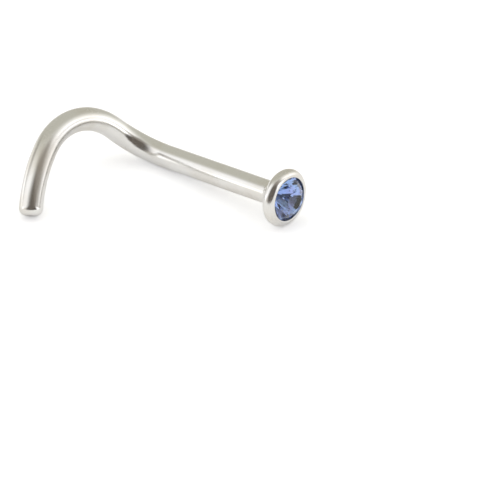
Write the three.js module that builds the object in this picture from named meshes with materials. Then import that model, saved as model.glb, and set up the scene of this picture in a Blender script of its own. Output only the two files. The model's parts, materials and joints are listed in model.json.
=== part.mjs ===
// A nose screw: a small stud for a pierced nostril, lying on a surface as it would by itself.
//
// The metal is one piece. It is turned as a straight blank, a round wire with a rimmed cup on
// its end, and the wire is then bent on a jig: a bend out of the post, a short straight run, a
// wide hook that turns across that bend, and a long easy tail down to a rounded tip.
// The stone is a round brilliant that sits in the cup under the rim's lip.
//
// Sizes are in millimetres and angles in degrees. The blank stands along Y: the back of the rim
// is at y = 0, the stone faces +Y and the wire runs towards -Y. The finished group is turned so
// that +Z is up, the part rests on z = 0 and the post points along +X towards the head.
import * as THREE from 'three';
import { ConvexHull } from 'three/addons/math/ConvexHull.js';
import { mergeVertices } from 'three/addons/utils/BufferGeometryUtils.js';

// Wire. Each bend's radius is that of the wire's centreline.
const WIRE_DIAMETER = 1.0;
const POST_LENGTH = 6.12; // straight wire from the rim's back to the first bend
const POST_BEND_RADIUS = 2.0;
const POST_BEND_ANGLE = 70;
const RUN_LENGTH = 0.3; // straight wire from the first bend to the hook
const HOOK_ROLL = 78; // turn of the hook's plane about the wire, from the first bend's plane
const HOOK_RADIUS = 2.64;
const HOOK_ANGLE = 88;
const TAIL_RADIUS = 6.7;
const TAIL_ANGLE = 25;
const TIP_ROUNDING = 0.3;

// Stone. Its inner outlines are shares of its diameter, as a cutter gives them.
const STONE_DIAMETER = 1.96;
const TABLE_SHARE = 0.46; // across the table's corners
const STAR_SHARE = 0.68; // across the points where the star facets end
const KEEL_SHARE = 0.25; // across the points where the lower girdle facets end
const CROWN_ANGLE = 38; // of the crown's main facets, from the girdle's plane
const PAVILION_ANGLE = 39; // of the pavilion's main facets
const GIRDLE_THICKNESS = 0.03;
const STONE_TURN = 8; // turn of the stone in its seat

// Head: the rim round the stone, its lip over the stone's edge, and the cup behind it
const SEAT_GAP = 0.02; // between the stone and the metal, all round
const BEZEL_WALL = 0.22; // metal outside the stone's seat, at the girdle
const RIM_THICKNESS = 0.56;
const LIP_OVERLAP = 0.06; // how far the lip reaches over the stone's edge
const LIP_THICKNESS = 0.06; // of the lip at its inner edge
const LIP_ROUNDING = 0.02;
const CUP_WALL = 0.16; // metal round the seat where the cup meets the rim's back
const CUP_LENGTH = 0.45; // from the rim's back to where the cup has narrowed to the wire

// Fineness of the flats that stand in for round walls
const SIDES = 32;
const ROUNDING_STEPS = 4;
const RIM_STEPS = 12;
const DEGREES_PER_STEP = 6.5;

const FACETS = 8; // main facets of the stone's crown, and of its pavilion
const QUARTER_TURN = Math.PI / 2;
const HALF_FACET = Math.PI / FACETS;
const radians = THREE.MathUtils.degToRad;

const WIRE_RADIUS = WIRE_DIAMETER / 2;
const STONE_RADIUS = STONE_DIAMETER / 2;
const TABLE_RADIUS = TABLE_SHARE * STONE_RADIUS;
const STAR_RADIUS = STAR_SHARE * STONE_RADIUS;
const KEEL_RADIUS = KEEL_SHARE * STONE_RADIUS;
const SEAT_RADIUS = STONE_RADIUS + SEAT_GAP;
const RIM_RADIUS = SEAT_RADIUS + BEZEL_WALL;
const OPENING_RADIUS = STONE_RADIUS - LIP_OVERLAP;

// The jig's table: how far the wire runs straight before each bend, how far the bend's plane is
// rolled about the wire from the first one's, and the bend itself.
const BENDS = [
  { straight: POST_LENGTH, roll: 0, radius: POST_BEND_RADIUS, angle: POST_BEND_ANGLE },
  { straight: RUN_LENGTH, roll: HOOK_ROLL, radius: HOOK_RADIUS, angle: HOOK_ANGLE },
  { straight: 0, roll: HOOK_ROLL, radius: TAIL_RADIUS, angle: TAIL_ANGLE },
];
const WIRE_LENGTH = BENDS.reduce((sum, b) => sum + b.straight + b.radius * radians(b.angle), 0);

/** Points of a quarter or half round in the profile's plane, from one angle to another. */
function roundPoints({ x, y, across, along, from, to, steps }) {
  return Array.from({ length: steps + 1 }, (_, i) => {
    const angle = from + ((to - from) * i) / steps;
    return new THREE.Vector2(x + across * Math.cos(angle), y + along * Math.sin(angle));
  });
}

/** Where the bent wire has its rings of vertices: distances behind the rim, from the tip on. */
function ringStations() {
  const stations = [];
  let start = 0;
  for (const bend of BENDS) {
    start += bend.straight;
    const steps = Math.ceil(bend.angle / DEGREES_PER_STEP);
    const length = bend.radius * radians(bend.angle);
    for (let i = 0; i <= steps; i += 1) stations.push(start + (length * i) / steps);
    start += length;
  }
  const beforeTip = WIRE_LENGTH - TIP_ROUNDING;
  return stations.filter((s, i) => s < beforeTip && s !== stations[i - 1]).reverse();
}

/** The lie of the wire at a distance behind the rim, after every bend before it. */
function wireFrame(station) {
  const frame = new THREE.Matrix4();
  const step = new THREE.Matrix4();
  let left = station;
  for (const bend of BENDS) {
    const run = Math.min(left, bend.straight);
    frame.multiply(step.makeTranslation(0, -run, 0));
    left -= run;
    const angle = Math.min(Math.max(left, 0) / bend.radius, radians(bend.angle));
    frame.multiply(step.makeRotationY(radians(bend.roll)));
    frame.multiply(step.makeTranslation(bend.radius, 0, 0));
    frame.multiply(step.makeRotationZ(angle));
    frame.multiply(step.makeTranslation(-bend.radius, 0, 0));
    frame.multiply(step.makeRotationY(-radians(bend.roll)));
    left -= bend.radius * angle;
  }
  return frame;
}

/** Bends a straight blank: each point keeps its place in the wire's section as the wire turns. */
function bendBlank(blank) {
  const position = blank.getAttribute('position');
  const point = new THREE.Vector3();
  for (let i = 0; i < position.count; i += 1) {
    point.fromBufferAttribute(position, i);
    const frame = wireFrame(-point.y);
    point.setY(0).applyMatrix4(frame);
    position.setXYZ(i, point.x, point.y, point.z);
  }
  return blank;
}

/**
 * Heights of the stone, which its seat is made from. The ridges are the slopes of the edges
 * that run in from the girdle, the outermost lines of the crown and of the pavilion.
 */
function stoneHeights() {
  const crownSlope = Math.tan(radians(CROWN_ANGLE));
  const pavilionSlope = Math.tan(radians(PAVILION_ANGLE));
  const star = crownSlope * (STONE_RADIUS - STAR_RADIUS * Math.cos(HALF_FACET));
  const keel = pavilionSlope * (STONE_RADIUS - KEEL_RADIUS * Math.cos(HALF_FACET));
  const crownRidge = star / (STONE_RADIUS - STAR_RADIUS);
  const pavilionRidge = keel / (STONE_RADIUS - KEEL_RADIUS);
  const lipUnderside = RIM_THICKNESS - LIP_THICKNESS;
  const girdleTop = lipUnderside - SEAT_GAP * Math.hypot(1, crownRidge) - crownRidge * LIP_OVERLAP;
  const girdleFoot = girdleTop - GIRDLE_THICKNESS;
  return {
    crownRidge,
    pavilionRidge,
    lipUnderside,
    girdleTop,
    girdleFoot,
    tableTop: girdleTop + crownSlope * (STONE_RADIUS - TABLE_RADIUS),
    starTop: girdleTop + star,
    keelFoot: girdleFoot - keel,
    culet: girdleFoot - pavilionSlope * STONE_RADIUS,
    seatApex: girdleFoot - SEAT_GAP * Math.hypot(1, pavilionRidge) - pavilionRidge * STONE_RADIUS,
  };
}

/** The blank's wall, from the tip's centre round the head to the bottom of the stone's seat. */
function blankProfile() {
  const heights = stoneHeights();
  const crest = OPENING_RADIUS + LIP_ROUNDING;
  const cupRadius = CUP_WALL - heights.seatApex / heights.pavilionRidge;
  const tip = roundPoints({
    x: WIRE_RADIUS - TIP_ROUNDING,
    y: TIP_ROUNDING - WIRE_LENGTH,
    across: TIP_ROUNDING,
    along: TIP_ROUNDING,
    from: -QUARTER_TURN,
    to: 0,
    steps: ROUNDING_STEPS,
  });
  const rim = roundPoints({
    x: crest,
    y: RIM_THICKNESS / 2,
    across: RIM_RADIUS - crest,
    along: RIM_THICKNESS / 2,
    from: -QUARTER_TURN,
    to: QUARTER_TURN,
    steps: RIM_STEPS,
  });
  const lip = roundPoints({
    x: crest,
    y: RIM_THICKNESS - LIP_ROUNDING,
    across: LIP_ROUNDING,
    along: LIP_ROUNDING,
    from: QUARTER_TURN,
    to: 2 * QUARTER_TURN,
    steps: ROUNDING_STEPS,
  });
  const belowLip = heights.lipUnderside - heights.crownRidge * (SEAT_RADIUS - OPENING_RADIUS);
  return [
    new THREE.Vector2(0, -WIRE_LENGTH),
    ...tip,
    ...ringStations().map((station) => new THREE.Vector2(WIRE_RADIUS, -station)),
    new THREE.Vector2(WIRE_RADIUS, -CUP_LENGTH),
    new THREE.Vector2(cupRadius, 0),
    ...rim,
    ...lip,
    new THREE.Vector2(OPENING_RADIUS, heights.lipUnderside),
    new THREE.Vector2(SEAT_RADIUS, belowLip),
    new THREE.Vector2(SEAT_RADIUS, heights.seatApex + heights.pavilionRidge * SEAT_RADIUS),
    new THREE.Vector2(0, heights.seatApex),
  ];
}

/** A closed solid of shared vertices, without the flat triangles that a lathe leaves at its poles. */
function closedSolid(geometry) {
  geometry.deleteAttribute('normal');
  geometry.deleteAttribute('uv');
  const merged = mergeVertices(geometry, 1e-5);
  const index = merged.getIndex();
  const kept = [];
  for (let i = 0; i < index.count; i += 3) {
    const [a, b, c] = [index.getX(i), index.getX(i + 1), index.getX(i + 2)];
    if (a !== b && b !== c && c !== a) kept.push(a, b, c);
  }
  merged.setIndex(kept);
  merged.computeVertexNormals();
  return merged;
}

/** The metal: cup, post, hook and tail. */
function screwGeometry() {
  return closedSolid(bendBlank(new THREE.LatheGeometry(blankProfile(), SIDES)));
}

/** The stone: a round brilliant, its girdle at the height of the seat. */
function stoneGeometry() {
  const heights = stoneHeights();
  const corner = (radius, height) => (step) => {
    const angle = step * HALF_FACET + radians(STONE_TURN);
    return new THREE.Vector3(radius * Math.sin(angle), height, radius * Math.cos(angle));
  };
  const table = corner(TABLE_RADIUS, heights.tableTop);
  const star = corner(STAR_RADIUS, heights.starTop);
  const upper = corner(STONE_RADIUS, heights.girdleTop);
  const lower = corner(STONE_RADIUS, heights.girdleFoot);
  const keel = corner(KEEL_RADIUS, heights.keelFoot);
  const centre = new THREE.Vector3(0, heights.tableTop, 0);
  const culet = new THREE.Vector3(0, heights.culet, 0);

  const triangles = [];
  for (let main = 0; main < 2 * FACETS; main += 2) {
    const [before, after, next] = [main - 1, main + 1, main + 2];
    triangles.push(centre, table(main), table(next));
    triangles.push(table(main), star(after), table(next));
    triangles.push(table(main), star(before), upper(main));
    triangles.push(table(main), upper(main), star(after));
    triangles.push(star(after), upper(main), upper(after));
    triangles.push(star(after), upper(after), upper(next));
    for (const [here, there] of [[main, after], [after, next]]) {
      triangles.push(upper(here), lower(here), lower(there));
      triangles.push(upper(here), lower(there), upper(there));
    }
    triangles.push(keel(after), lower(after), lower(main));
    triangles.push(keel(after), lower(next), lower(after));
    triangles.push(culet, lower(main), keel(before));
    triangles.push(culet, keel(after), lower(main));
  }
  return closedSolid(new THREE.BufferGeometry().setFromPoints(triangles));
}

/** Every vertex of a geometry, as points. */
function pointsOf(geometry) {
  const position = geometry.getAttribute('position');
  return Array.from({ length: position.count }, (_, i) =>
    new THREE.Vector3().fromBufferAttribute(position, i));
}

/** Centre of mass of a closed solid, from the tetrahedra under its triangles. */
function centreOfMass(geometry) {
  const points = pointsOf(geometry);
  const index = geometry.getIndex();
  const sum = new THREE.Vector3();
  let volume = 0;
  for (let i = 0; i < index.count; i += 3) {
    const [a, b, c] = [0, 1, 2].map((k) => points[index.getX(i + k)]);
    const share = a.dot(b.clone().cross(c));
    sum.add(a.clone().add(b).add(c).multiplyScalar(share / 4));
    volume += share;
  }
  return sum.divideScalar(volume);
}

/**
 * Which way is down when the metal lies still: across a face of its convex hull that its centre
 * of mass stands over. Of those faces, it is the one that the tip points down to.
 */
function restingDown(metal) {
  const tipwards = new THREE.Vector3(0, -1, 0).transformDirection(wireFrame(WIRE_LENGTH));
  const centre = centreOfMass(metal);
  const faces = new ConvexHull().setFromPoints(pointsOf(metal)).faces.filter((face) => {
    const corners = [0, 1, 2].map((i) => face.getEdge(i).head().point);
    return new THREE.Triangle(...corners).containsPoint(centre);
  });
  faces.sort((a, b) => b.normal.dot(tipwards) - a.normal.dot(tipwards));
  return faces[0].normal;
}

/** Lays the group on z = 0 with its post along +X, over the middle of its footprint. */
function layDown(group, down) {
  const upright = new THREE.Quaternion().setFromUnitVectors(down, new THREE.Vector3(0, 0, -1));
  const post = new THREE.Vector3(0, 1, 0).applyQuaternion(upright);
  const heading = new THREE.Quaternion()
    .setFromAxisAngle(new THREE.Vector3(0, 0, 1), -Math.atan2(post.y, post.x));
  group.quaternion.copy(heading.multiply(upright));
  const box = new THREE.Box3().setFromObject(group, true);
  const middle = box.getCenter(new THREE.Vector3());
  group.position.set(-middle.x, -middle.y, -box.min.z);
  group.updateMatrixWorld(true);
}

/** A named mesh with its own material. */
function piece(name, geometry, look) {
  const mesh = new THREE.Mesh(geometry, new THREE.MeshStandardMaterial(look));
  mesh.name = name;
  return mesh;
}

const polishedSteel = { color: 0xd8d6d0, roughness: 0.12, metalness: 1 };
const blueCrystal = { color: 0x4f6fd0, roughness: 0.03, metalness: 0 };

const screw = screwGeometry();
const noseStud = new THREE.Group();
noseStud.add(piece('screw_post', screw, polishedSteel));
noseStud.add(piece('stone', stoneGeometry(), blueCrystal));
layDown(noseStud, restingDown(screw));

export default noseStud;
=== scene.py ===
"""A nose screw of polished steel with a blue brilliant-cut stone, lying on a pale surface.

The metal is worked as a jeweller works it: a round wire is drawn out from the back of the head
and bent three times, the head is turned round the post's axis, and the finished screw is laid
down. The stone is cut from a round blank, facet by facet. Lengths are in metres.
"""

from __future__ import annotations

import json
import logging
import math
from collections.abc import Callable, Iterator
from contextlib import contextmanager
from dataclasses import dataclass, field
from enum import Enum
from typing import Any

import bmesh
import bpy
from mathutils import Matrix, Vector

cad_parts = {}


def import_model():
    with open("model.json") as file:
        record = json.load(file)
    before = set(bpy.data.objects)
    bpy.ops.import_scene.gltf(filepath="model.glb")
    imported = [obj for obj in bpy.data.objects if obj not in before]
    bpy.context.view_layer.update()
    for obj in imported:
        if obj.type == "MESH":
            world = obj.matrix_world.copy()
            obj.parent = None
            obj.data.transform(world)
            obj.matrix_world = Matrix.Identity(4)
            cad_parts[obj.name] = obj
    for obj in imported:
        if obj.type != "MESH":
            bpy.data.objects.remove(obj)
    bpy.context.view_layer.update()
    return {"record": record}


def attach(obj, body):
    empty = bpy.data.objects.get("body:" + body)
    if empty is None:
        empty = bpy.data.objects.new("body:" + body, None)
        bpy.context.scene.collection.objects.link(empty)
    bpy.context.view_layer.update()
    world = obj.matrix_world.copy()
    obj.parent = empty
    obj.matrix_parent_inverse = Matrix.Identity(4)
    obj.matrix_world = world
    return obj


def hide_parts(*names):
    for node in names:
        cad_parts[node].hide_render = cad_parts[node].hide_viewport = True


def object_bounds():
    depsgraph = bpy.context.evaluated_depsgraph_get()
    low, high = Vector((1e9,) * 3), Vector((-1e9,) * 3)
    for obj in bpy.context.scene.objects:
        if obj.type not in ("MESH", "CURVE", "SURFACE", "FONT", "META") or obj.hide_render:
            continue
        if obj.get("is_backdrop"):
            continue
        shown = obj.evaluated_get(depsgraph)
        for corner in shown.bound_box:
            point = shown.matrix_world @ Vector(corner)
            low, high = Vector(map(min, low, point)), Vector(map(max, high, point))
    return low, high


MM = 0.001
DEGREE = math.pi / 180
NEARLY = 0.001 * MM
UP = Vector((0, 0, 1))
BODY = "root"
BLANK_PLACE = "blank_place"

Colour = tuple[float, float, float, float]
Span = tuple[float, float]

log = logging.getLogger("nose_stud")


class CadNode(Enum):
    """The nodes of the frame."""

    SCREW = "screw_post"
    STONE = "stone"


class Slot(Enum):
    """The material slots of the frame's record."""

    STEEL = "steel"
    CRYSTAL = "crystal"


class Shading(Enum):
    """How a piece's faces are lit: as flat facets, or as one surface up to an edge's angle."""

    FACETED = 0.0
    ROUNDED = 32 * DEGREE


# Modelling tools


def deselect_all() -> None:
    """Leaves nothing selected."""
    bpy.ops.object.select_all(action="DESELECT")


def pick_only(piece: bpy.types.Object) -> None:
    """Selects one piece by itself, and makes it the one that is worked on."""
    deselect_all()
    piece.select_set(True)
    bpy.context.view_layer.objects.active = piece


@contextmanager
def editing(piece: bpy.types.Object) -> Iterator[bpy.types.Object]:
    """Holds one piece, and only that one, in edit mode.

    Args:
        piece: The mesh object to work on.

    Returns:
        The same piece, in edit mode until the block ends.
    """
    pick_only(piece)
    bpy.ops.object.mode_set(mode="EDIT")
    try:
        yield piece
    finally:
        bpy.ops.object.mode_set(mode="OBJECT")


def pick_ring(piece: bpy.types.Object, radius: float, height: float) -> None:
    """Selects one ring of vertices round the Z axis, with the edges between them.

    Args:
        piece: The mesh object, in edit mode.
        radius: Radius of the ring.
        height: Height of the ring.
    """
    bpy.ops.mesh.select_mode(type="VERT")
    bpy.ops.mesh.select_all(action="DESELECT")
    shape = bmesh.from_edit_mesh(piece.data)
    for vertex in shape.verts:
        out = math.hypot(vertex.co.x, vertex.co.y)
        vertex.select = abs(out - radius) < NEARLY and abs(vertex.co.z - height) < NEARLY
    shape.select_flush_mode()
    bmesh.update_edit_mesh(piece.data)


def weld(gap: float) -> None:
    """Joins vertices of the edited mesh that lie within a gap, and turns its faces outwards."""
    bpy.ops.mesh.select_all(action="SELECT")
    bpy.ops.mesh.remove_doubles(threshold=gap)
    bpy.ops.mesh.normals_make_consistent(inside=False)


def lay_in_place(piece: bpy.types.Object, placement: Matrix) -> None:
    """Moves a piece's mesh to its place and leaves its object at the origin, unturned.

    Args:
        piece: The mesh object.
        placement: Where the piece's own frame lies in the part's frame.
    """
    pick_only(piece)
    piece.matrix_world = placement @ piece.matrix_world
    bpy.ops.object.transform_apply(location=True, rotation=True, scale=True)


def shade(piece: bpy.types.Object, shading: Shading) -> None:
    """Shades a piece flat, or smooth up to an angle.

    Args:
        piece: The mesh object.
        shading: The way to shade it.
    """
    pick_only(piece)
    if shading is Shading.FACETED:
        bpy.ops.object.shade_flat()
    else:
        bpy.ops.object.shade_smooth_by_angle(angle=shading.value)


# The stud's sizes


@dataclass(frozen=True)
class BrilliantCut:
    """Proportions of the stone's cut, seen with its table towards +Z.

    The ridges are the slopes of the outermost edges, which run in from the girdle.

    Attributes:
        radius: Radius of the girdle.
        table_share: Distance of the table's corners from the axis, as a share of the radius.
        star_share: The same for the star facets' outer points.
        keel_share: The same for the lower girdle facets' inner points.
        crown_angle: Slope of the crown's main facets.
        pavilion_angle: Slope of the pavilion's main facets.
        girdle_thickness: Height of the girdle.
        mains: Number of main facets on the crown, and again on the pavilion.
    """

    radius: float = 0.98 * MM
    table_share: float = 0.46
    star_share: float = 0.68
    keel_share: float = 0.25
    crown_angle: float = 38 * DEGREE
    pavilion_angle: float = 39 * DEGREE
    girdle_thickness: float = 0.03 * MM
    mains: int = 8

    @property
    def half_facet(self) -> float:
        """Half of a main facet's share of the turn."""
        return math.pi / self.mains

    @property
    def star_rise(self) -> float:
        """Height of the star facets' outer points above the girdle."""
        run = self.radius * (1 - self.star_share * math.cos(self.half_facet))
        return math.tan(self.crown_angle) * run

    @property
    def keel_drop(self) -> float:
        """Depth of the lower girdle facets' inner points below the girdle."""
        run = self.radius * (1 - self.keel_share * math.cos(self.half_facet))
        return math.tan(self.pavilion_angle) * run

    @property
    def table_rise(self) -> float:
        """Height of the table above the girdle."""
        return math.tan(self.crown_angle) * self.radius * (1 - self.table_share)

    @property
    def culet_drop(self) -> float:
        """Depth of the culet below the girdle."""
        return math.tan(self.pavilion_angle) * self.radius

    @property
    def crown_ridge(self) -> float:
        """Slope of the crown's outermost edges."""
        return self.star_rise / (self.radius * (1 - self.star_share))

    @property
    def pavilion_ridge(self) -> float:
        """Slope of the pavilion's outermost edges."""
        return self.keel_drop / (self.radius * (1 - self.keel_share))


@dataclass(frozen=True)
class Bezel:
    """Sizes of the head: the rim round the stone, its lip, and the cup behind it.

    Heights are measured from the flat back of the rim.

    Attributes:
        cut: The stone that it holds.
        seat_gap: Space between the stone and its seat.
        wall: Thickness of the rim outside the girdle.
        rim_thickness: Thickness of the rim from its back to its crest.
        lip_overlap: How far the lip reaches in over the girdle.
        lip_thickness: Thickness of the lip at the opening.
        lip_rounding: Rounding of the lip's inner corner.
        cup_wall: Thickness of the cup where it meets the rim's back.
        cup_length: Length over which the cup narrows to the wire.
    """

    cut: BrilliantCut
    seat_gap: float = 0.02 * MM
    wall: float = 0.22 * MM
    rim_thickness: float = 0.56 * MM
    lip_overlap: float = 0.06 * MM
    lip_thickness: float = 0.06 * MM
    lip_rounding: float = 0.02 * MM
    cup_wall: float = 0.16 * MM
    cup_length: float = 0.45 * MM

    @property
    def seat_radius(self) -> float:
        """Radius of the seat at the stone's girdle."""
        return self.cut.radius + self.seat_gap

    @property
    def rim_radius(self) -> float:
        """Radius of the whole head."""
        return self.seat_radius + self.wall

    @property
    def opening_radius(self) -> float:
        """Radius of the opening inside the lip."""
        return self.cut.radius - self.lip_overlap

    @property
    def crest_radius(self) -> float:
        """Radius at which the rim's half round starts and ends."""
        return self.opening_radius + self.lip_rounding

    @property
    def lip_underside(self) -> float:
        """Height of the lip's lower edge at the opening."""
        return self.rim_thickness - self.lip_thickness

    @property
    def girdle_top(self) -> float:
        """Height of the girdle's upper edge, with the stone up against the lip."""
        ridge = self.cut.crown_ridge
        return self.lip_underside - self.seat_gap * math.hypot(1, ridge) - ridge * self.lip_overlap

    @property
    def girdle_foot(self) -> float:
        """Height of the girdle's lower edge."""
        return self.girdle_top - self.cut.girdle_thickness

    @property
    def seat_apex(self) -> float:
        """Height of the bottom of the seat."""
        ridge = self.cut.pavilion_ridge
        return self.girdle_foot - self.seat_gap * math.hypot(1, ridge) - ridge * self.cut.radius

    @property
    def cup_radius(self) -> float:
        """Radius of the cup where it meets the rim's back."""
        return self.cup_wall - self.seat_apex / self.cut.pavilion_ridge


@dataclass(frozen=True)
class Bend:
    """One line of the jig's table: a straight run of wire and the bend that follows it.

    Attributes:
        straight: Length of straight wire before the bend.
        roll: Turn of the bend's plane about the wire, from the first bend's plane.
        radius: Radius of the wire's centreline.
        angle: How far the wire is bent.
    """

    straight: float
    roll: float
    radius: float
    angle: float

    @property
    def length(self) -> float:
        """Length of the bent wire."""
        return self.radius * self.angle


@dataclass(frozen=True)
class RestingPose:
    """How the stud lies: +Z of its own frame leaves through the stone, +X points to the first bend.

    Attributes:
        mount: The frame's mount on the flat back of the rim, straight above the post's axis.
        mount_radius: How far the mount lies from the post's axis.
        roll: Turn of the first bend about the post, from straight up.
    """

    mount: dict[str, Any]
    mount_radius: float
    roll: float = 37.992 * DEGREE

    @property
    def placement(self) -> Matrix:
        """Where the stud's own frame lies in the part's frame."""
        post = -Vector(self.mount["axis"]).normalized()
        above = (UP - post * UP.dot(post)).normalized()
        towards_bend = Matrix.Rotation(self.roll, 3, post) @ above
        sideways = post.cross(towards_bend)
        turn = Matrix((towards_bend, sideways, post)).transposed().to_4x4()
        middle = Vector(self.mount["pos_m"]) - above * self.mount_radius
        return Matrix.Translation(middle) @ turn


def arc(middle: Span, across: float, along: float, start: float, end: float,
        steps: int) -> list[Span]:
    """Divides a rounding of a turned profile into rings.

    Args:
        middle: Distance of the rounding's centre from the axis, and its height.
        across: Reach of the rounding away from the axis.
        along: Its reach along the axis.
        start: Angle where it starts, in degrees above straight outwards.
        end: Angle where it ends.
        steps: Number of steps between its rings.

    Returns:
        The radius and the height of each ring.
    """
    angles = [(start + (end - start) * step / steps) * DEGREE for step in range(steps + 1)]
    return [(middle[0] + across * math.cos(angle), middle[1] + along * math.sin(angle))
            for angle in angles]


# Node trees


class NodeSheet:
    """A node tree that is written step by step."""

    def __init__(self, tree: bpy.types.NodeTree) -> None:
        """Starts an empty tree."""
        self.tree = tree
        tree.nodes.clear()

    def add(self, kind: str, inputs: dict[str | int, Any] | None = None,
            **settings: Any) -> bpy.types.Node:
        """Adds a node.

        Args:
            kind: The node's type.
            inputs: A value or a socket for each of its inputs.
            **settings: The node's own properties.

        Returns:
            The new node.
        """
        node = self.tree.nodes.new(kind)
        for name, value in settings.items():
            setattr(node, name, value)
        for name, value in (inputs or {}).items():
            if isinstance(value, bpy.types.NodeSocket):
                self.tree.links.new(value, node.inputs[name])
            else:
                node.inputs[name].default_value = value
        return node

    def maths(self, operation: str, *values: Any) -> bpy.types.NodeSocket:
        """Works out one number.

        Args:
            operation: The operation of a Math node.
            *values: Its numbers or sockets.

        Returns:
            The socket that holds the result.
        """
        return self.add("ShaderNodeMath", dict(enumerate(values)), operation=operation).outputs[0]

    def vector_maths(self, operation: str, *values: Any) -> bpy.types.Node:
        """Adds a Vector Math node.

        Args:
            operation: The operation of the node.
            *values: Its vectors or sockets.

        Returns:
            The new node.
        """
        return self.add("ShaderNodeVectorMath", dict(enumerate(values)), operation=operation)

    def stretch(self, place: Any, scale: tuple[float, float, float],
                turn: tuple[float, float, float] = (0, 0, 0)) -> bpy.types.NodeSocket:
        """Turns and scales a place, for a pattern.

        Args:
            place: The socket with the place.
            scale: Repeats for each metre, along each axis.
            turn: The turn about each axis.

        Returns:
            The socket that holds the new place.
        """
        inputs = {"Vector": place, "Rotation": turn, "Scale": scale}
        return self.add("ShaderNodeMapping", inputs).outputs["Vector"]

    def noise(self, place: Any, detail: float, scale: float = 1.0) -> bpy.types.NodeSocket:
        """Adds a noise pattern.

        Args:
            place: The socket with the place.
            detail: Number of finer layers.
            scale: Repeats for each unit of the place.

        Returns:
            The socket that holds the pattern, from 0 to 1.
        """
        inputs = {"Vector": place, "Scale": scale, "Detail": detail}
        return self.add("ShaderNodeTexNoise", inputs).outputs["Fac"]

    def ramp(self, value: Any, low: float, high: float, at_low: float = 0.0,
             at_high: float = 1.0) -> bpy.types.NodeSocket:
        """Maps a value smoothly from one range to another, and holds it at the ends.

        Args:
            value: The socket with the value.
            low: Where the change starts.
            high: Where it ends.
            at_low: The result up to the start.
            at_high: The result past the end.

        Returns:
            The socket that holds the result.
        """
        inputs = {"Value": value, "From Min": low, "From Max": high, "To Min": at_low,
                  "To Max": at_high}
        node = self.add("ShaderNodeMapRange", inputs, interpolation_type="SMOOTHSTEP")
        return node.outputs["Result"]

    def blend(self, share: Any, first: Any, second: Any) -> bpy.types.NodeSocket:
        """Mixes two colours.

        Args:
            share: How much of the second colour.
            first: A colour or a socket.
            second: A colour or a socket.

        Returns:
            The socket that holds the mixed colour.
        """
        inputs = {0: share, 6: first, 7: second}
        return self.add("ShaderNodeMix", inputs, data_type="RGBA").outputs[2]

    def relief(self, height: Any, depth: float, strength: float,
               below: Any = None) -> bpy.types.NodeSocket:
        """Turns a pattern into relief.

        Args:
            height: The socket with the pattern, from 0 to 1.
            depth: Depth from 0 to 1.
            strength: How much of the relief shows.
            below: The socket with the normal of a broader relief, if it lies on one.

        Returns:
            The socket with the surface's normal.
        """
        inputs = {"Height": height, "Distance": depth, "Strength": strength}
        if below is not None:
            inputs["Normal"] = below
        return self.add("ShaderNodeBump", inputs).outputs["Normal"]

    def surface(self, shader: dict[str, Any], **others: Any) -> None:
        """Ends a material with its shader.

        Args:
            shader: A value or a socket for each of the shader's inputs.
            **others: A socket for each other input of the material.
        """
        skin = self.add("ShaderNodeBsdfPrincipled", shader).outputs["BSDF"]
        self.add("ShaderNodeOutputMaterial", {"Surface": skin, **others})


def start_finish(name: str) -> tuple[bpy.types.Material, NodeSheet]:
    """Starts a material.

    Args:
        name: Name of the material.

    Returns:
        The material, and its empty node tree.
    """
    material = bpy.data.materials.new(name)
    material.use_nodes = True
    return material, NodeSheet(material.node_tree)


def colour(red: float, green: float, blue: float) -> Colour:
    """Gives an opaque colour."""
    return (red, green, blue, 1.0)


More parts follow.
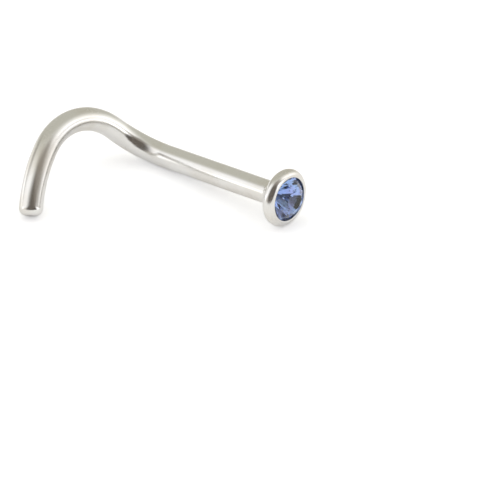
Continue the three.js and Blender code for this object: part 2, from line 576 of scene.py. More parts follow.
@dataclass(frozen=True)
class HandlingMarks:
    """A node group for what use leaves on any polished surface: fine scratches and a thin film.

    Its inputs are the place on the surface, how dense the scratches are and how strong the film
    is. It puts out a mask of the scratches and a mask of the film.

    Attributes:
        name: Name of the group.
        scratch_turns: Turn of each set of scratches.
        scratch_lean: Share of that turn about each axis.
        scratch_pitch: Scratches for each metre across them.
        scratch_run: Their repeats for each metre along them.
        scratch_width: Width of a scratch, as a share of their pattern's range.
        scratched: Where in their pattern's range scratches start and where all show.
        film_scale: Cloudy patches of film for each metre.
        filmed: Where in its pattern's range the film starts and where it is full.
    """

    name: str = "handling_marks"
    scratch_turns: tuple[float, ...] = (0.4, 1.5, 2.6)
    scratch_lean: tuple[float, float, float] = (1.0, 0.7, 1.3)
    scratch_pitch: float = 9000.0
    scratch_run: float = 700.0
    scratch_width: float = 0.018
    scratched: Span = (0.45, 0.7)
    film_scale: float = 520.0
    filmed: Span = (0.42, 0.7)

    def lay_on(self, sheet: NodeSheet, place: bpy.types.NodeSocket, density: float,
               film: float) -> bpy.types.NodeOutputs:
        """Lays the marks on a finish.

        Args:
            sheet: The finish's tree.
            place: The socket with the place on the surface.
            density: How dense the scratches are.
            film: How strong the film is.

        Returns:
            The sockets with the masks of the scratches and of the film.
        """
        inputs = {"Place": place, "Density": density, "Film": film}
        return sheet.add("ShaderNodeGroup", inputs, node_tree=self.build()).outputs

    def build(self) -> bpy.types.NodeTree:
        """Builds the group, or gives the one that is there.

        Returns:
            The node group.
        """
        found = bpy.data.node_groups.get(self.name)
        if found:
            return found
        group = bpy.data.node_groups.new(self.name, "ShaderNodeTree")
        for name, kind in (("Place", "NodeSocketVector"), ("Density", "NodeSocketFloat"),
                           ("Film", "NodeSocketFloat")):
            group.interface.new_socket(name, in_out="INPUT", socket_type=kind)
        for name in ("Scratches", "Film"):
            group.interface.new_socket(name, in_out="OUTPUT", socket_type="NodeSocketFloat")
        sheet = NodeSheet(group)
        given = sheet.add("NodeGroupInput")
        scratches = self._scratches(sheet, given)
        cloudy = sheet.noise(given.outputs["Place"], detail=4, scale=self.film_scale)
        film = sheet.maths("MULTIPLY", sheet.ramp(cloudy, *self.filmed), given.outputs["Film"])
        sheet.add("NodeGroupOutput", {"Scratches": scratches, "Film": film})
        return group

    def _scratches(self, sheet: NodeSheet, given: bpy.types.Node) -> bpy.types.NodeSocket:
        """Draws short hairlines in several directions.

        Args:
            sheet: The group's tree.
            given: The group's inputs.

        Returns:
            The socket with the mask.
        """
        total = None
        for turn in self.scratch_turns:
            scale = (self.scratch_run, self.scratch_pitch, self.scratch_pitch)
            turns = tuple(turn * share for share in self.scratch_lean)
            place = sheet.stretch(given.outputs["Place"], scale, turns)
            from_middle = sheet.maths("SUBTRACT", sheet.noise(place, detail=1), 0.5)
            line = sheet.maths("ABSOLUTE", from_middle)
            thin = sheet.ramp(line, 0.0, self.scratch_width, 1.0, 0.0)
            total = thin if total is None else sheet.maths("MAXIMUM", total, thin)
        patches = sheet.noise(given.outputs["Place"], detail=1, scale=self.scratch_run)
        spread = sheet.maths("MULTIPLY", total, sheet.ramp(patches, *self.scratched))
        return sheet.maths("MULTIPLY", spread, given.outputs["Density"])


@dataclass(frozen=True)
class PolishedSteel:
    """Mirror-polished steel: draw lines along the wire, turning lines on the head, handling marks.

    Attributes:
        head_edge: Length of the cup, over which the drawn lines give way to turned ones.
        tint: Colour of its reflection.
        warm_tint: Colour where a thin film warms the reflection.
        gloss: Roughness of the clean polish.
        film_dulling: How much rougher the film makes it.
        line_dulling: How much rougher the polishing lines make it.
        scratch_dulling: How much rougher a scratch makes it.
        scratch_density: How dense its scratches are.
        film_strength: How strong its film is.
        line_pitch: Fine polishing lines for each metre across them.
        line_run: Their repeats for each metre of wire.
        line_depth: Depth of the lines.
        line_strength: How much of the lines' relief shows.
        ripple_scale: Slight waves for each metre, across and along the wire.
        ripple_depth: Depth of the waves, which hand bending and polishing leave.
    """

    head_edge: float
    tint: Colour = colour(0.80, 0.79, 0.77)
    warm_tint: Colour = colour(0.74, 0.71, 0.66)
    gloss: float = 0.17
    film_dulling: float = 0.05
    line_dulling: float = 0.03
    scratch_dulling: float = 0.12
    scratch_density: float = 0.8
    film_strength: float = 1.0
    line_pitch: float = 30000.0
    line_run: float = 260.0
    line_depth: float = 0.0004 * MM
    line_strength: float = 0.6
    ripple_scale: tuple[float, float, float] = (700.0, 700.0, 420.0)
    ripple_depth: float = 0.006 * MM

    def build(self) -> bpy.types.Material:
        """Builds the material.

        Returns:
            The steel.
        """
        material, sheet = start_finish("polished_steel")
        place = sheet.add("ShaderNodeAttribute", attribute_name=BLANK_PLACE).outputs["Vector"]
        marks = HandlingMarks().lay_on(sheet, place, self.scratch_density, self.film_strength)
        lines = self._lines(sheet, place)
        base = sheet.blend(marks["Film"], self.tint, self.warm_tint)
        rough = sheet.maths("MULTIPLY_ADD", marks["Film"], self.film_dulling, self.gloss)
        rough = sheet.maths("MULTIPLY_ADD", lines, self.line_dulling, rough)
        rough = sheet.maths("MULTIPLY_ADD", marks["Scratches"], self.scratch_dulling, rough)
        normal = self._relief(sheet, place, lines, marks["Scratches"])
        sheet.surface({"Base Color": base, "Metallic": 1.0, "Roughness": rough, "Normal": normal})
        return material

    def _lines(self, sheet: NodeSheet, place: bpy.types.NodeSocket) -> bpy.types.NodeSocket:
        """Draws polishing lines: along the wire, and round the head.

        Args:
            sheet: The material's tree.
            place: The place on the straight blank.

        Returns:
            The socket with the lines, from 0 to 1.
        """
        pitch = self.line_pitch
        drawn = sheet.noise(sheet.stretch(place, (pitch, pitch, self.line_run)), detail=2)
        across, aside, along = sheet.add("ShaderNodeSeparateXYZ", {0: place}).outputs
        squares = [sheet.maths("MULTIPLY", part, part) for part in (across, aside)]
        out = sheet.maths("POWER", sheet.maths("ADD", *squares), 0.5)
        ring = sheet.add("ShaderNodeCombineXYZ", {0: out, 1: 0.0, 2: along}).outputs[0]
        turned = sheet.noise(sheet.stretch(ring, (pitch, 1.0, pitch)), detail=2)
        on_head = sheet.ramp(along, -self.head_edge, 0.0)
        mixed = sheet.add("ShaderNodeMix", {0: on_head, 2: drawn, 3: turned}, data_type="FLOAT")
        return mixed.outputs[0]

    def _relief(self, sheet: NodeSheet, place: bpy.types.NodeSocket,
                lines: bpy.types.NodeSocket,
                scratches: bpy.types.NodeSocket) -> bpy.types.NodeSocket:
        """Raises the polishing lines and ripples, and sinks the scratches.

        Args:
            sheet: The material's tree.
            place: The place on the straight blank.
            lines: The polishing lines.
            scratches: The mask of scratches.

        Returns:
            The socket with the surface's normal.
        """
        ripple = sheet.noise(sheet.stretch(place, self.ripple_scale), detail=1)
        broad = sheet.relief(ripple, self.ripple_depth, 1.0)
        grain = sheet.maths("SUBTRACT", lines, scratches)
        return sheet.relief(grain, self.line_depth, self.line_strength, broad)


@dataclass(frozen=True)
class BlueCrystal:
    """Clear blue crystal with clean facets, a little tint at the surface and more in its depth.

    Attributes:
        tint: Colour given to light that enters and leaves.
        violet_tint: The same where the crystal is a little more violet.
        violet_scale: Lighter and more violet places for each metre.
        violet_range: Where in its pattern's range violet starts and where it is full.
        depth_tint: Colour that light takes on its way through the stone.
        depth_density: How fast it takes that colour, for each metre.
        index: Refractive index.
        gloss: Roughness of the clean facets.
        film_dulling: How much rougher the film makes them.
        scratch_dulling: How much rougher a scratch makes them.
        scratch_density: How dense their scratches are.
        film_strength: How strong their film is.
        polish_scale: Slight unevenness of the polish, for each metre.
        polish_depth: Depth of that unevenness.
        polish_strength: How much of its relief shows.
    """

    tint: Colour = colour(0.76, 0.94, 1.0)
    violet_tint: Colour = colour(0.88, 0.80, 1.0)
    violet_scale: float = 900.0
    violet_range: Span = (0.4, 0.6)
    depth_tint: Colour = colour(0.20, 0.44, 0.92)
    depth_density: float = 420.0
    index: float = 1.6
    gloss: float = 0.003
    film_dulling: float = 0.02
    scratch_dulling: float = 0.1
    scratch_density: float = 0.25
    film_strength: float = 0.6
    polish_scale: float = 6000.0
    polish_depth: float = 0.0002 * MM
    polish_strength: float = 0.3

    def build(self) -> bpy.types.Material:
        """Builds the material.

        Returns:
            The crystal.
        """
        material, sheet = start_finish("blue_crystal")
        place = sheet.add("ShaderNodeTexCoord").outputs["Object"]
        marks = HandlingMarks().lay_on(sheet, place, self.scratch_density, self.film_strength)
        cloudy = sheet.noise(place, detail=1, scale=self.violet_scale)
        base = sheet.blend(sheet.ramp(cloudy, *self.violet_range), self.tint, self.violet_tint)
        rough = sheet.maths("MULTIPLY_ADD", marks["Film"], self.film_dulling, self.gloss)
        rough = sheet.maths("MULTIPLY_ADD", marks["Scratches"], self.scratch_dulling, rough)
        polish = sheet.noise(place, detail=2, scale=self.polish_scale)
        depth = sheet.add("ShaderNodeVolumeAbsorption", {
            "Color": self.depth_tint, "Density": self.depth_density})
        sheet.surface({
            "Base Color": base, "Metallic": 0.0, "Roughness": rough, "IOR": self.index,
            "Transmission Weight": 1.0,
            "Normal": sheet.relief(polish, self.polish_depth, self.polish_strength),
        }, Volume=depth.outputs["Volume"])
        return material


@dataclass(frozen=True)
class SilverFoil:
    """The thin mirror foil on the stone's back, slightly creased where it was pressed on.

    Attributes:
        tint: Colour of its reflection.
        creased_tint: Colour along the creases.
        gloss: Its roughness.
        crease_dulling: How much rougher a crease makes it.
        crease_scale: Creases for each metre.
        crease_range: Where in their pattern's range creases start and where they are full.
        crease_depth: Depth of the creases.
        crease_strength: How much of their relief shows.
    """

    tint: Colour = colour(0.93, 0.93, 0.96)
    creased_tint: Colour = colour(0.88, 0.89, 0.95)
    gloss: float = 0.02
    crease_dulling: float = 0.02
    crease_scale: float = 2600.0
    crease_range: Span = (0.35, 0.65)
    crease_depth: float = 0.0015 * MM
    crease_strength: float = 0.5

    def build(self) -> bpy.types.Material:
        """Builds the material.

        Returns:
            The foil.
        """
        material, sheet = start_finish("silver_foil")
        place = sheet.add("ShaderNodeTexCoord").outputs["Object"]
        creases = sheet.noise(place, detail=2, scale=self.crease_scale)
        base = sheet.blend(sheet.ramp(creases, *self.crease_range), self.tint, self.creased_tint)
        rough = sheet.maths("MULTIPLY_ADD", creases, self.crease_dulling, self.gloss)
        normal = sheet.relief(creases, self.crease_depth, self.crease_strength)
        sheet.surface({"Base Color": base, "Metallic": 1.0, "Roughness": rough, "Normal": normal})
        return material


@dataclass(frozen=True)
class PaleBoard:
    """Matt white board with a faint tooth, seen and mirrored a little whiter than it is lit.

    Attributes:
        shade: Colour of the board.
        tooth_shade: Colour of its raised tooth.
        glow: How much whiter the camera sees it.
        mirrored_glow: How much whiter the metal mirrors it.
        roughness: Its roughness.
        shine: Strength of its faint shine.
        tooth_scale: Grains of the tooth for each metre.
        tooth_range: Where in its pattern's range the tooth starts and where it is full.
        tooth_depth: Height of the tooth.
        tooth_strength: How much of its relief shows.
    """

    shade: Colour = colour(0.92, 0.925, 0.94)
    tooth_shade: Colour = colour(0.935, 0.94, 0.955)
    glow: float = 0.36
    mirrored_glow: float = 0.12
    roughness: float = 0.85
    shine: float = 0.1
    tooth_scale: float = 2500.0
    tooth_range: Span = (0.3, 0.7)
    tooth_depth: float = 0.004 * MM
    tooth_strength: float = 0.2

    def build(self) -> bpy.types.Material:
        """Builds the material.

        Returns:
            The board.
        """
        material, sheet = start_finish("pale_board")
        place = sheet.add("ShaderNodeTexCoord").outputs["Object"]
        tooth = sheet.noise(place, detail=3, scale=self.tooth_scale)
        base = sheet.blend(sheet.ramp(tooth, *self.tooth_range), self.shade, self.tooth_shade)
        sight = sheet.add("ShaderNodeLightPath").outputs
        seen = sheet.maths("MULTIPLY", sight["Is Camera Ray"], self.glow)
        mirrored = sheet.maths("MULTIPLY", sight["Is Glossy Ray"], self.mirrored_glow)
        sheet.surface({
            "Base Color": base, "Roughness": self.roughness, "Specular IOR Level": self.shine,
            "Emission Color": base, "Emission Strength": sheet.maths("ADD", seen, mirrored),
            "Normal": sheet.relief(tooth, self.tooth_depth, self.tooth_strength)})
        return material


# Sub-assemblies


@dataclass
class TurnedScrew:
    """The metal: wire, hook and tail, and the head turned on the wire's end.

    It is worked with the post along Z, the back of the rim at z = 0 and the stone's side up.

    Attributes:
        bezel: Sizes of the head.
        pose: How the stud lies.
        wire_radius: Radius of the wire.
        tip_rounding: Rounding of the tip.
        tip_reserve: Length of wire left in one step before the tip, for its rounding.
        bends: The jig's table, from the head to the tip.
        sides: Vertices round the wire.
        step: Angle between the rings of a bend.
        rim_steps: Steps over the rim's half round.
        lip_steps: Steps over the lip's rounding.
        tip_steps: Steps over the tip's rounding.
        seat_point: Radius to which the seat narrows before it closes.
        fillet: Rounding of the cup's two corners.
        fillet_steps: Steps over that rounding.
        weld_gap: Gap up to which vertices are joined.
        slack: How far outside the wire a point may lie and still belong to it, as a share of the
            wire's radius, and in radians past a bend's end.
        lies: For each bend, its station along the blank and where the wire before it lies.
    """

    bezel: Bezel
    pose: RestingPose
    wire_radius: float = 0.5 * MM
    tip_rounding: float = 0.3 * MM
    tip_reserve: float = 0.34 * MM
    bends: tuple[Bend, ...] = (
        Bend(straight=6.12 * MM, roll=0, radius=2.0 * MM, angle=70 * DEGREE),
        Bend(straight=0.3 * MM, roll=78 * DEGREE, radius=2.64 * MM, angle=88 * DEGREE),
        Bend(straight=0, roll=78 * DEGREE, radius=6.7 * MM, angle=25 * DEGREE),
    )
    sides: int = 128
    step: float = 2.5 * DEGREE
    rim_steps: int = 28
    lip_steps: int = 5
    tip_steps: int = 10
    seat_point: float = 0.02 * MM
    fillet: float = 0.05 * MM
    fillet_steps: int = 4
    weld_gap: float = 0.0001 * MM
    slack: float = 0.1
    lies: list[tuple[Bend, float, Matrix]] = field(default_factory=list)

    def build(self) -> bpy.types.Object:
        """Makes the metal, lays it down and dresses it.

        Returns:
            The finished piece.
        """
        deselect_all()
        bpy.ops.mesh.primitive_circle_add(
            vertices=self.sides, radius=self.wire_radius, location=(0, 0, -self.bezel.cup_length))
        piece = bpy.context.active_object
        piece.name = "turned_screw"
        lay_in_place(piece, Matrix.Identity(4))
        with editing(piece):
            self._draw_wire()
            self._turn_head(piece)
            self._round_corners(piece)
            weld(self.weld_gap)
        self._keep_blank_place(piece)
        lay_in_place(piece, self.pose.placement)
        shade(piece, Shading.ROUNDED)
        piece.data.materials.append(PolishedSteel(head_edge=self.bezel.cup_length).build())
        return piece

    def _draw_wire(self) -> None:
        """Draws the wire out from its first ring, bends it three times and closes its end."""
        bpy.ops.mesh.select_all(action="SELECT")
        lie = Matrix.Identity(4)
        drawn = self.bezel.cup_length
        station = 0.0
        for number, bend in enumerate(self.bends):
            run = lie.to_3x3() @ Vector((0, 0, drawn - bend.straight))
            if run.length > 0:
                bpy.ops.mesh.extrude_region_move(TRANSFORM_OT_translate={"value": run})
            self.lies.append((bend, station, lie.copy()))
            lie = lie @ Matrix.Translation((0, 0, -bend.straight))
            rolled = lie @ Matrix.Rotation(bend.roll, 4, "Z")
            centre = rolled @ Vector((bend.radius, 0, 0))
            axis = rolled.to_3x3() @ Vector((0, 1, 0))
            last = number == len(self.bends) - 1
            reserve = self.tip_reserve / bend.radius if last else 0.0
            self._spin(centre, axis, bend.angle - reserve)
            if last:
                bpy.ops.mesh.spin(steps=1, angle=reserve, center=centre, axis=axis)
            turn = Matrix.Rotation(-bend.angle, 4, axis)
            lie = Matrix.Translation(centre) @ turn @ Matrix.Translation(-centre) @ lie
            station += bend.straight + bend.length
            drawn = 0.0
        bpy.ops.mesh.edge_face_add()
        bpy.ops.mesh.bevel(offset=self.tip_rounding, segments=self.tip_steps, affect="EDGES")

    def _spin(self, centre: Vector, axis: Vector, angle: float) -> None:
        """Bends the wire's open end round a centre.

        Args:
            centre: Centre of the bend.
            axis: Axis of the bend.
            angle: How far it is bent.
        """
        steps = math.ceil(angle / self.step)
        bpy.ops.mesh.spin(steps=steps, angle=angle, center=centre, axis=axis)

    def _turn_head(self, piece: bpy.types.Object) -> None:
        """Turns the cup, the rim, the lip and the seat, ring by ring from the wire's first ring.

        Args:
            piece: The metal, in edit mode.
        """
        bezel = self.bezel
        radius, height = self.wire_radius, -bezel.cup_length
        pick_ring(piece, radius, height)
        below_lip = bezel.lip_underside - bezel.cut.crown_ridge * (
            bezel.seat_radius - bezel.opening_radius)
        seat_edge = bezel.seat_apex + bezel.cut.pavilion_ridge * bezel.seat_radius
        crest, rounding = bezel.crest_radius, bezel.lip_rounding
        rim_middle = (crest, bezel.rim_thickness / 2)
        lip_middle = (crest, bezel.rim_thickness - rounding)
        rings = (
            (bezel.cup_radius, 0.0),
            *arc(rim_middle, bezel.rim_radius - crest, rim_middle[1], -90, 90, self.rim_steps),
            *arc(lip_middle, rounding, rounding, 90, 180, self.lip_steps)[1:],
            (bezel.opening_radius, bezel.lip_underside),
            (bezel.seat_radius, below_lip),
            (bezel.seat_radius, seat_edge),
            (self.seat_point, bezel.seat_apex),
        )
        for next_radius, next_height in rings:
            rise = (0, 0, next_height - height)
            bpy.ops.mesh.extrude_region_move(TRANSFORM_OT_translate={"value": rise})
            widen = next_radius / radius
            bpy.ops.transform.resize(
                value=(widen, widen, 1), center_override=(0, 0, next_height))
            radius, height = next_radius, next_height
        bpy.ops.mesh.merge(type="CENTER")

    def _round_corners(self, piece: bpy.types.Object) -> None:
        """Rounds the corners where the cup meets the rim's back and the wire.

        Args:
            piece: The metal, in edit mode.
        """
        corners = ((self.bezel.cup_radius, 0.0), (self.wire_radius, -self.bezel.cup_length))
        for radius, height in corners:
            pick_ring(piece, radius, height)
            bpy.ops.mesh.bevel(offset=self.fillet, segments=self.fillet_steps, affect="EDGES")

    def _keep_blank_place(self, piece: bpy.types.Object) -> None:
        """Keeps for each vertex its place on the straight blank, for what follows the wire.

        Args:
            piece: The metal, before it is laid down.
        """
        places = piece.data.attributes.new(BLANK_PLACE, "FLOAT_VECTOR", "POINT")
        for vertex, place in zip(piece.data.vertices, places.data):
            place.vector = self._straightened(vertex.co)

    def _straightened(self, place: Vector) -> Vector:
        """Finds where a point lay before the wire was bent.

        Args:
            place: The point on the bent wire.

        Returns:
            The point on the straight blank.
        """
        near = self.wire_radius * (1 + self.slack)
        for bend, station, lie in self.lies:
            local = lie.inverted() @ place
            if local.z > 0 and station == 0.0:
                return local
            if -bend.straight <= local.z <= 0 and (
                    station == 0.0 or math.hypot(local.x, local.y) < near):
                return Vector((local.x, local.y, local.z - station))
            start = lie @ Matrix.Translation((0, 0, -bend.straight))
            rolled = start @ Matrix.Rotation(bend.roll, 4, "Z")
            local = rolled.inverted() @ place
            angle = math.atan2(-local.z, bend.radius - local.x)
            depth = bend.radius - math.hypot(bend.radius - local.x, local.z)
            if 0 <= angle <= bend.angle + self.slack and math.hypot(depth, local.y) < near:
                unrolled = Matrix.Rotation(bend.roll, 3, "Z") @ Vector((depth, local.y, 0))
                unrolled.z = -(station + bend.straight + bend.radius * angle)
                return unrolled
        return place


@dataclass
class BlueBrilliant:
    """The stone, cut from a round blank: table, stars, crown mains, girdle facets, pavilion.

    Attributes:
        bezel: Sizes of the head that it is set in.
        pose: How the stud lies.
        turn: Turn of the stone in its seat, past the first bend's side.
        spare: Length of the blank past the cut stone, as a share of the stone's depth.
        backed_below: Upward part of a facet's normal, below which it is backed with foil.
        plane_gap: Gap up to which a point lies on a facet's plane.
        weld_gap: Gap up to which vertices are joined.
    """

    bezel: Bezel
    pose: RestingPose
    turn: float = 8 * DEGREE
    spare: float = 0.02
    backed_below: float = -0.1
    plane_gap: float = 0.00005 * MM
    weld_gap: float = 0.0005 * MM

    def build(self) -> bpy.types.Object:
        """Cuts the stone, sets it in its seat and dresses it.

        Returns:
            The finished piece.
        """
        cut = self.bezel.cut
        depth = cut.table_rise + cut.girdle_thickness + cut.culet_drop
        middle = self.bezel.girdle_top + cut.table_rise - depth / 2
        deselect_all()
        bpy.ops.mesh.primitive_cylinder_add(
            vertices=2 * cut.mains, radius=cut.radius, depth=depth * (1 + self.spare),
            location=(0, 0, middle), rotation=(0, 0, self._angle(0)))
        piece = bpy.context.active_object
        piece.name = "blue_brilliant"
        lay_in_place(piece, Matrix.Identity(4))
        with editing(piece):
            for corners in self._facets():
                self._grind(corners)
            weld(self.weld_gap)
        piece.data.materials.append(BlueCrystal().build())
        piece.data.materials.append(SilverFoil().build())
        self._back_with_foil(piece)
        lay_in_place(piece, self.pose.placement)
        shade(piece, Shading.FACETED)
        return piece

    def _back_with_foil(self, piece: bpy.types.Object) -> None:
        """Lays the foil on the pavilion's facets, which look down from the girdle.

        Args:
            piece: The stone, with its table towards +Z.
        """
        with editing(piece):
            bpy.ops.mesh.select_mode(type="FACE")
            bpy.ops.mesh.select_all(action="DESELECT")
            shape = bmesh.from_edit_mesh(piece.data)
            for face in shape.faces:
                face.select = face.normal.z < self.backed_below
            bmesh.update_edit_mesh(piece.data)
            piece.active_material_index = 1
            bpy.ops.object.material_slot_assign()

    def _angle(self, step: int) -> float:
        """Angle of a corner about the stone's axis, from the first bend's side."""
        return step * self.bezel.cut.half_facet - math.pi / 2 - self.turn

    def _corner(self, share: float, height: float, step: int) -> Vector:
        """Gives a corner of the cut.

        Args:
            share: Its distance from the axis, as a share of the stone's radius.
            height: Its height in the head.
            step: Its number round the stone.

        Returns:
            The corner's place.
        """
        out = share * self.bezel.cut.radius
        angle = self._angle(step)
        return Vector((out * math.cos(angle), out * math.sin(angle), height))

    def _facets(self) -> Iterator[tuple[Vector, Vector, Vector]]:
        """Lists the facets in cutting order, each by three of its corners.

        Returns:
            Three corners of each facet in turn.
        """
        cut, top, foot = self.bezel.cut, self.bezel.girdle_top, self.bezel.girdle_foot
        table, star, keel = cut.table_share, cut.star_share, cut.keel_share
        table_top = top + cut.table_rise
        star_top = top + cut.star_rise
        keel_foot = foot - cut.keel_drop
        culet = Vector((0, 0, foot - cut.culet_drop))
        mains = range(0, 2 * cut.mains, 2)
        yield tuple(self._corner(table, table_top, step) for step in (0, 4, 8))
        for step in mains:
            yield (self._corner(star, star_top, step - 1), self._corner(1, top, step),
                   self._corner(star, star_top, step + 1))
        for step in mains:
            yield (culet, self._corner(1, foot, step), self._corner(keel, keel_foot, step + 1))
        for step in mains:
            yield (self._corner(table, table_top, step), self._corner(star, star_top, step + 1),
                   self._corner(table, table_top, step + 2))
        for step in mains:
            for outer in (step, step + 2):
                yield (self._corner(star, star_top, step + 1), self._corner(1, top, outer),
                       self._corner(1, top, step + 1))
                yield (self._corner(keel, keel_foot, step + 1), self._corner(1, foot, outer),
                       self._corner(1, foot, step + 1))

    def _grind(self, corners: tuple[Vector, Vector, Vector]) -> None:
        """Grinds one flat facet, and takes away all that stands outside it.

        Args:
            corners: Three corners of the facet.
        """
        first, second, third = corners
        normal = (second - first).cross(third - first).normalized()
        heart = Vector((0, 0, (self.bezel.girdle_top + self.bezel.girdle_foot) / 2))
        if normal.dot(first - heart) < 0:
            normal.negate()
        bpy.ops.mesh.select_all(action="SELECT")
        bpy.ops.mesh.bisect(plane_co=first, plane_no=normal, use_fill=True, clear_outer=True,
                            threshold=self.plane_gap)


# Studio


@dataclass(frozen=True)
class SoftPatch:
    """A soft-edged patch of the surroundings, by where a mirror ball shows it to the camera.

    Attributes:
        right: Its middle on the ball, from the left edge at -1 to the right edge at 1.
        up: Its middle, from the ball's foot at -1 to its top at 1.
        width: Half of its width.
        height: Half of its height.
        turn: How far it is turned, counterclockwise.
        softness: Share of its size over which its edge fades.
        level: Brightness and colour.
    """

    right: float
    up: float
    width: float
    height: float
    turn: float
    softness: float
    level: Colour


def direction(azimuth: float, elevation: float) -> Vector:
    """Gives the direction from the stud towards a place in the surroundings."""
    flat = math.cos(elevation)
    return Vector((math.sin(azimuth) * flat, -math.cos(azimuth) * flat, math.sin(elevation)))


@dataclass
class Studio:
    """The pale floor, the white surroundings, a soft lamp and the camera.

    Attributes:
        white: Brightness of the plain surroundings.
        patches: What the metal mirrors of the room, painted over the white in this order.
        view_azimuth: Turn of the camera about the stud, from the front towards +X.
        view_elevation: Angle of the camera above the floor.
        view_roll: Tilt of the camera about its line of sight.
        view_distance: Distance of the camera.
        view_width: Width of what it sees at the stud.
        aim_right: How far to the right of the origin it aims.
        aim_up: How far above the origin it aims, across its line of sight.
        near_clip: Distance from which it sees.
        floor_size: Width of the board.
        lamp_size: Width of the lamp.
        lamp_height: Height of the lamp.
        lamp_power: Power of the lamp, in watts.
    """

    white: Colour = colour(2.1, 2.1, 2.12)
    patches: tuple[SoftPatch, ...] = (
        # the grey ceiling and its darker left edge
        SoftPatch(-0.2, 0.85, 1.45, 0.6, -7 * DEGREE, 0.5, colour(0.60, 0.59, 0.52)),
        SoftPatch(-0.6, 0.35, 0.25, 0.08, 65 * DEGREE, 0.5, colour(0.38, 0.37, 0.34)),
        # the lamp on the left and the fade below it
        SoftPatch(-0.45, 0.2, 0.23, 0.2, 0, 0.5, colour(1.22, 1.22, 1.22)),
        SoftPatch(-0.35, -0.15, 0.32, 0.18, 0, 0.5, colour(0.74, 0.71, 0.66)),
        # the dark camera and what stands round it
        SoftPatch(0.03, -0.07, 0.38, 0.38, 0, 0.35, colour(0.14, 0.13, 0.12)),
        SoftPatch(0.13, 0, 0.25, 0.35, -18 * DEGREE, 0.3, colour(0.16, 0.14, 0.12)),
        SoftPatch(0.36, -0.17, 0.12, 0.18, -30 * DEGREE, 0.5, colour(0.09, 0.08, 0.07)),
        SoftPatch(0.3, 0.2, 0.43, 0.06, -23 * DEGREE, 0.5, colour(0.36, 0.33, 0.29)),
    )
    view_azimuth: float = 40.08 * DEGREE
    view_elevation: float = 34.2 * DEGREE
    view_roll: float = 0.22 * DEGREE
    view_distance: float = 0.2
    view_width: float = 20.49 * MM
    aim_right: float = 3.875 * MM
    aim_up: float = -1.56 * MM
    near_clip: float = 0.005
    floor_size: float = 3.0
    lamp_size: float = 1.2
    lamp_height: float = 0.5
    lamp_power: float = 2.0

    @property
    def view(self) -> tuple[Vector, Vector, Vector]:
        """The camera's right, its up, and the direction from the stud towards it."""
        towards = direction(self.view_azimuth, self.view_elevation)
        level = Vector((math.cos(self.view_azimuth), math.sin(self.view_azimuth), 0))
        roll = Matrix.Rotation(self.view_roll, 3, towards)
        return roll @ level, roll @ towards.cross(level), towards

    def build(self) -> None:
        """Builds the whole studio."""
        self._lay_floor()
        self._surround()
        self._hang_lamp()
        self._set_camera()
        bpy.context.scene.view_settings.view_transform = "Standard"

    def _lay_floor(self) -> None:
        """Lays the board that the stud rests on."""
        deselect_all()
        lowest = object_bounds()[0].z
        bpy.ops.mesh.primitive_plane_add(size=self.floor_size, location=(0, 0, lowest))
        floor = bpy.context.active_object
        floor.name = "floor_board"
        floor.data.materials.append(PaleBoard().build())
        floor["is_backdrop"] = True

    def _surround(self) -> None:
        """Paints the surroundings: white all round, with the soft patches over it."""
        world = bpy.data.worlds.new("studio")
        world.use_nodes = True
        bpy.context.scene.world = world
        sheet = NodeSheet(world.node_tree)
        outward = sheet.add("ShaderNodeTexCoord").outputs["Generated"]
        on_ball = self._place_on_ball(sheet, outward)
        seen = self.white
        for patch in self.patches:
            seen = sheet.blend(self._patch_mask(sheet, on_ball, patch), seen, patch.level)
        lit = sheet.add("ShaderNodeBackground", {"Color": seen, "Strength": 1.0})
        plain = sheet.add("ShaderNodeBackground", {"Color": self.white, "Strength": 1.0})
        eye = sheet.add("ShaderNodeLightPath").outputs["Is Camera Ray"]
        both = sheet.add("ShaderNodeMixShader", {
            0: eye, 1: lit.outputs[0], 2: plain.outputs[0]})
        sheet.add("ShaderNodeOutputWorld", {"Surface": both.outputs[0]})

    def _place_on_ball(self, sheet: NodeSheet,
                       outward: bpy.types.NodeSocket) -> bpy.types.NodeSocket:
        """Finds where a mirror ball at the stud would show a direction to the camera.

        Args:
            sheet: The world's tree.
            outward: The socket with the direction looked in.

        Returns:
            The socket with the place on the ball: right, up and zero.
        """
        right, above, towards = self.view
        sum_of_both = sheet.vector_maths("ADD", outward, tuple(towards)).outputs[0]
        facing = sheet.vector_maths("NORMALIZE", sum_of_both).outputs[0]
        parts = [sheet.vector_maths("DOT_PRODUCT", facing, tuple(axis)).outputs["Value"]
                 for axis in (right, above)]
        return sheet.add("ShaderNodeCombineXYZ", dict(enumerate(parts))).outputs[0]

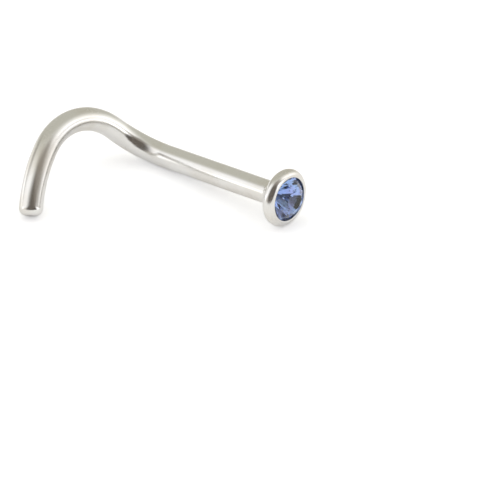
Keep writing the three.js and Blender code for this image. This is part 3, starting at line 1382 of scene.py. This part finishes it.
    def _patch_mask(self, sheet: NodeSheet, on_ball: bpy.types.NodeSocket,
                    patch: SoftPatch) -> bpy.types.NodeSocket:
        """Masks one patch of the surroundings.

        Args:
            sheet: The world's tree.
            on_ball: The socket with the place on the mirror ball.
            patch: The patch.

        Returns:
            The socket with the mask, 1 inside the patch.
        """
        place = sheet.add("ShaderNodeMapping", {
            "Vector": on_ball, "Location": (patch.right, patch.up, 0),
            "Rotation": (0, 0, patch.turn), "Scale": (patch.width, patch.height, 1),
        }, vector_type="TEXTURE").outputs[0]
        away = sheet.vector_maths("LENGTH", place).outputs["Value"]
        return sheet.ramp(away, 1 - patch.softness, 1 + patch.softness, 1.0, 0.0)

    def _hang_lamp(self) -> None:
        """Hangs a wide soft lamp over the floor, clear of what the polished metal mirrors."""
        disc = bpy.data.lights.new("soft_lamp", "AREA")
        disc.shape = "DISK"
        disc.size = self.lamp_size
        disc.energy = self.lamp_power
        lamp = bpy.data.objects.new("soft_lamp", disc)
        lamp.location = (0, 0, self.lamp_height)
        lamp.visible_glossy = False
        lamp.visible_transmission = False
        lamp.visible_camera = False
        bpy.context.scene.collection.objects.link(lamp)

    def _set_camera(self) -> None:
        """Sets the camera at the photograph's angle, far off with a long lens."""
        right, above, towards = self.view
        lens = bpy.data.cameras.new("long_lens")
        lens.lens = lens.sensor_width * self.view_distance / self.view_width
        lens.clip_start = self.near_clip
        camera = bpy.data.objects.new("long_lens", lens)
        bpy.context.scene.collection.objects.link(camera)
        aim = right * self.aim_right + above * self.aim_up
        turn = Matrix((right, above, towards)).transposed().to_4x4()
        camera.matrix_world = Matrix.Translation(aim + towards * self.view_distance) @ turn
        bpy.context.scene.camera = camera


def seat_on_frame(piece: bpy.types.Object, node: CadNode) -> None:
    """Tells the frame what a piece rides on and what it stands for.

    Args:
        piece: The finished piece.
        node: The node that it replaces.
    """
    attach(piece, BODY)
    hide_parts(node.value)
    log.info("%s replaces %s: %d faces", piece.name, node.value, len(piece.data.polygons))


def main() -> None:
    """Builds the stud round the frame, and then the studio round the stud."""
    logging.basicConfig(level=logging.INFO, format="%(name)s: %(message)s")
    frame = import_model()
    mounts = {mount["name"]: mount for mount in frame["record"]["mounts"]}
    bezel = Bezel(BrilliantCut())
    flat_middle = (bezel.cup_radius + bezel.crest_radius) / 2
    pose = RestingPose(mounts["rim_back"], flat_middle)
    seat_on_frame(TurnedScrew(bezel, pose).build(), CadNode.SCREW)
    seat_on_frame(BlueBrilliant(bezel, pose).build(), CadNode.STONE)
    Studio().build()


if __name__ == "__main__":
    main()
